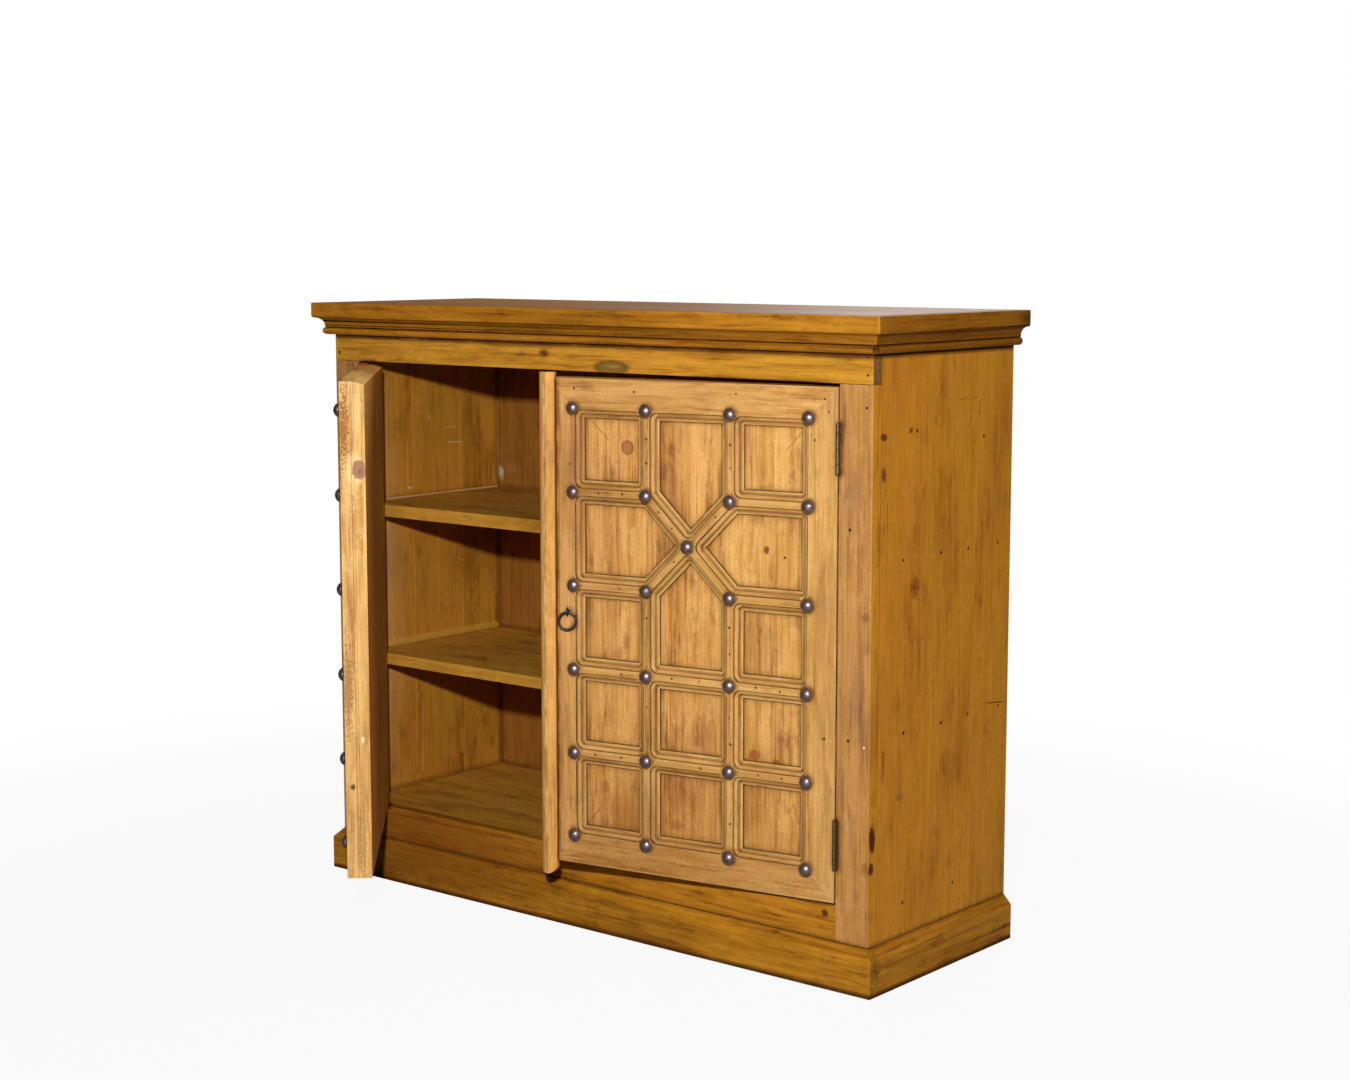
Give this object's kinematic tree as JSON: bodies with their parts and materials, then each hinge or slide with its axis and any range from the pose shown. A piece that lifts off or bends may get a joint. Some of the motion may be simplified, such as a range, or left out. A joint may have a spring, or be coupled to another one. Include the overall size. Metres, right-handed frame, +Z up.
{
  "type": "storage cabinet",
  "caption": "Pine trastero cabinet with two studded lattice doors on butt hinges, shelves inside, a moulded cornice, a plinth and a ring pull.",
  "frame": {"origin": "on the floor, midway along the front plinth board's underside, in line with the front of the case", "axes": "+X to the viewer's right along the front, +Y from the front to the back, +Z up"},
  "size_m": [1.209, 0.7629, 1.021],
  "materials": {
    "door_pine": "waxed honey pine with dark glaze in the mouldings",
    "case_pine": "waxed amber pine",
    "inner_pine": "dull olive-brown pine",
    "stud_bronze": "dark bronzed domes, satin",
    "black_iron": "blackened iron wire",
    "hinge_steel": "worn plated steel"
  },
  "bodies": {
    "case": {"back_boards": "inner_pine", "bottom_rail": "case_pine", "cornice_front": "case_pine", "cornice_left": "case_pine", "cornice_right": "case_pine", "floor_board": "inner_pine", "frame_leaf_screws": "hinge_steel", "frieze_board": "case_pine", "left_case_stile": "case_pine", "left_lower_frame_leaf": "hinge_steel", "left_lower_hinge_pin": "hinge_steel", "left_side_boards": "case_pine", "left_upper_frame_leaf": "hinge_steel", "left_upper_hinge_pin": "hinge_steel", "lower_shelf": "inner_pine", "plinth_back": "inner_pine", "plinth_corner_blocks": "inner_pine", "plinth_front": "case_pine", "plinth_left": "case_pine", "plinth_right": "case_pine", "right_case_stile": "case_pine", "right_lower_frame_leaf": "hinge_steel", "right_lower_hinge_pin": "hinge_steel", "right_side_boards": "case_pine", "right_upper_frame_leaf": "hinge_steel", "right_upper_hinge_pin": "hinge_steel", "top_battens": "inner_pine", "top_boards": "case_pine", "upper_shelf": "inner_pine"},
    "left_door": {"left_door_backing_boards": "inner_pine", "left_door_bottom_rail": "door_pine", "left_door_cross_ribs": "door_pine", "left_door_diagonal_ribs": "door_pine", "left_door_field_boards": "door_pine", "left_door_hinge_stile": "door_pine", "left_door_leaf_screws": "hinge_steel", "left_door_lower_door_leaf": "hinge_steel", "left_door_meeting_stile": "door_pine", "left_door_studs": "stud_bronze", "left_door_top_rail": "door_pine", "left_door_upper_door_leaf": "hinge_steel", "left_door_upright_ribs": "door_pine"},
    "right_door": {"right_door_backing_boards": "inner_pine", "right_door_bottom_rail": "door_pine", "right_door_cover_strip": "door_pine", "right_door_cross_ribs": "door_pine", "right_door_diagonal_ribs": "door_pine", "right_door_field_boards": "door_pine", "right_door_hinge_stile": "door_pine", "right_door_leaf_screws": "hinge_steel", "right_door_lower_door_leaf": "hinge_steel", "right_door_meeting_stile": "door_pine", "right_door_pull_eye": "black_iron", "right_door_studs": "stud_bronze", "right_door_top_rail": "door_pine", "right_door_upper_door_leaf": "hinge_steel", "right_door_upright_ribs": "door_pine"},
    "pull_ring": {"pull_ring": "black_iron"}
  },
  "joints": [
    {"name": "left_door_hinge", "type": "hinge", "parent": "case", "child": "left_door", "pos_m": [-0.5143, -0.0033, 0.5233], "axis": [0, 0, -1], "range_deg": [-46.6, 123.4]},
    {"name": "right_door_hinge", "type": "hinge", "parent": "case", "child": "right_door", "pos_m": [0.5143, -0.0033, 0.5233], "axis": [0, 0, 1], "range_deg": [-9.2, 160.8]},
    {"name": "ring_swing", "type": "hinge", "parent": "right_door", "child": "pull_ring", "pos_m": [0.04887, -0.08496, 0.542], "axis": [-0.8368, -0.5476, 0], "range_deg": [-3, 110]}
  ]
}
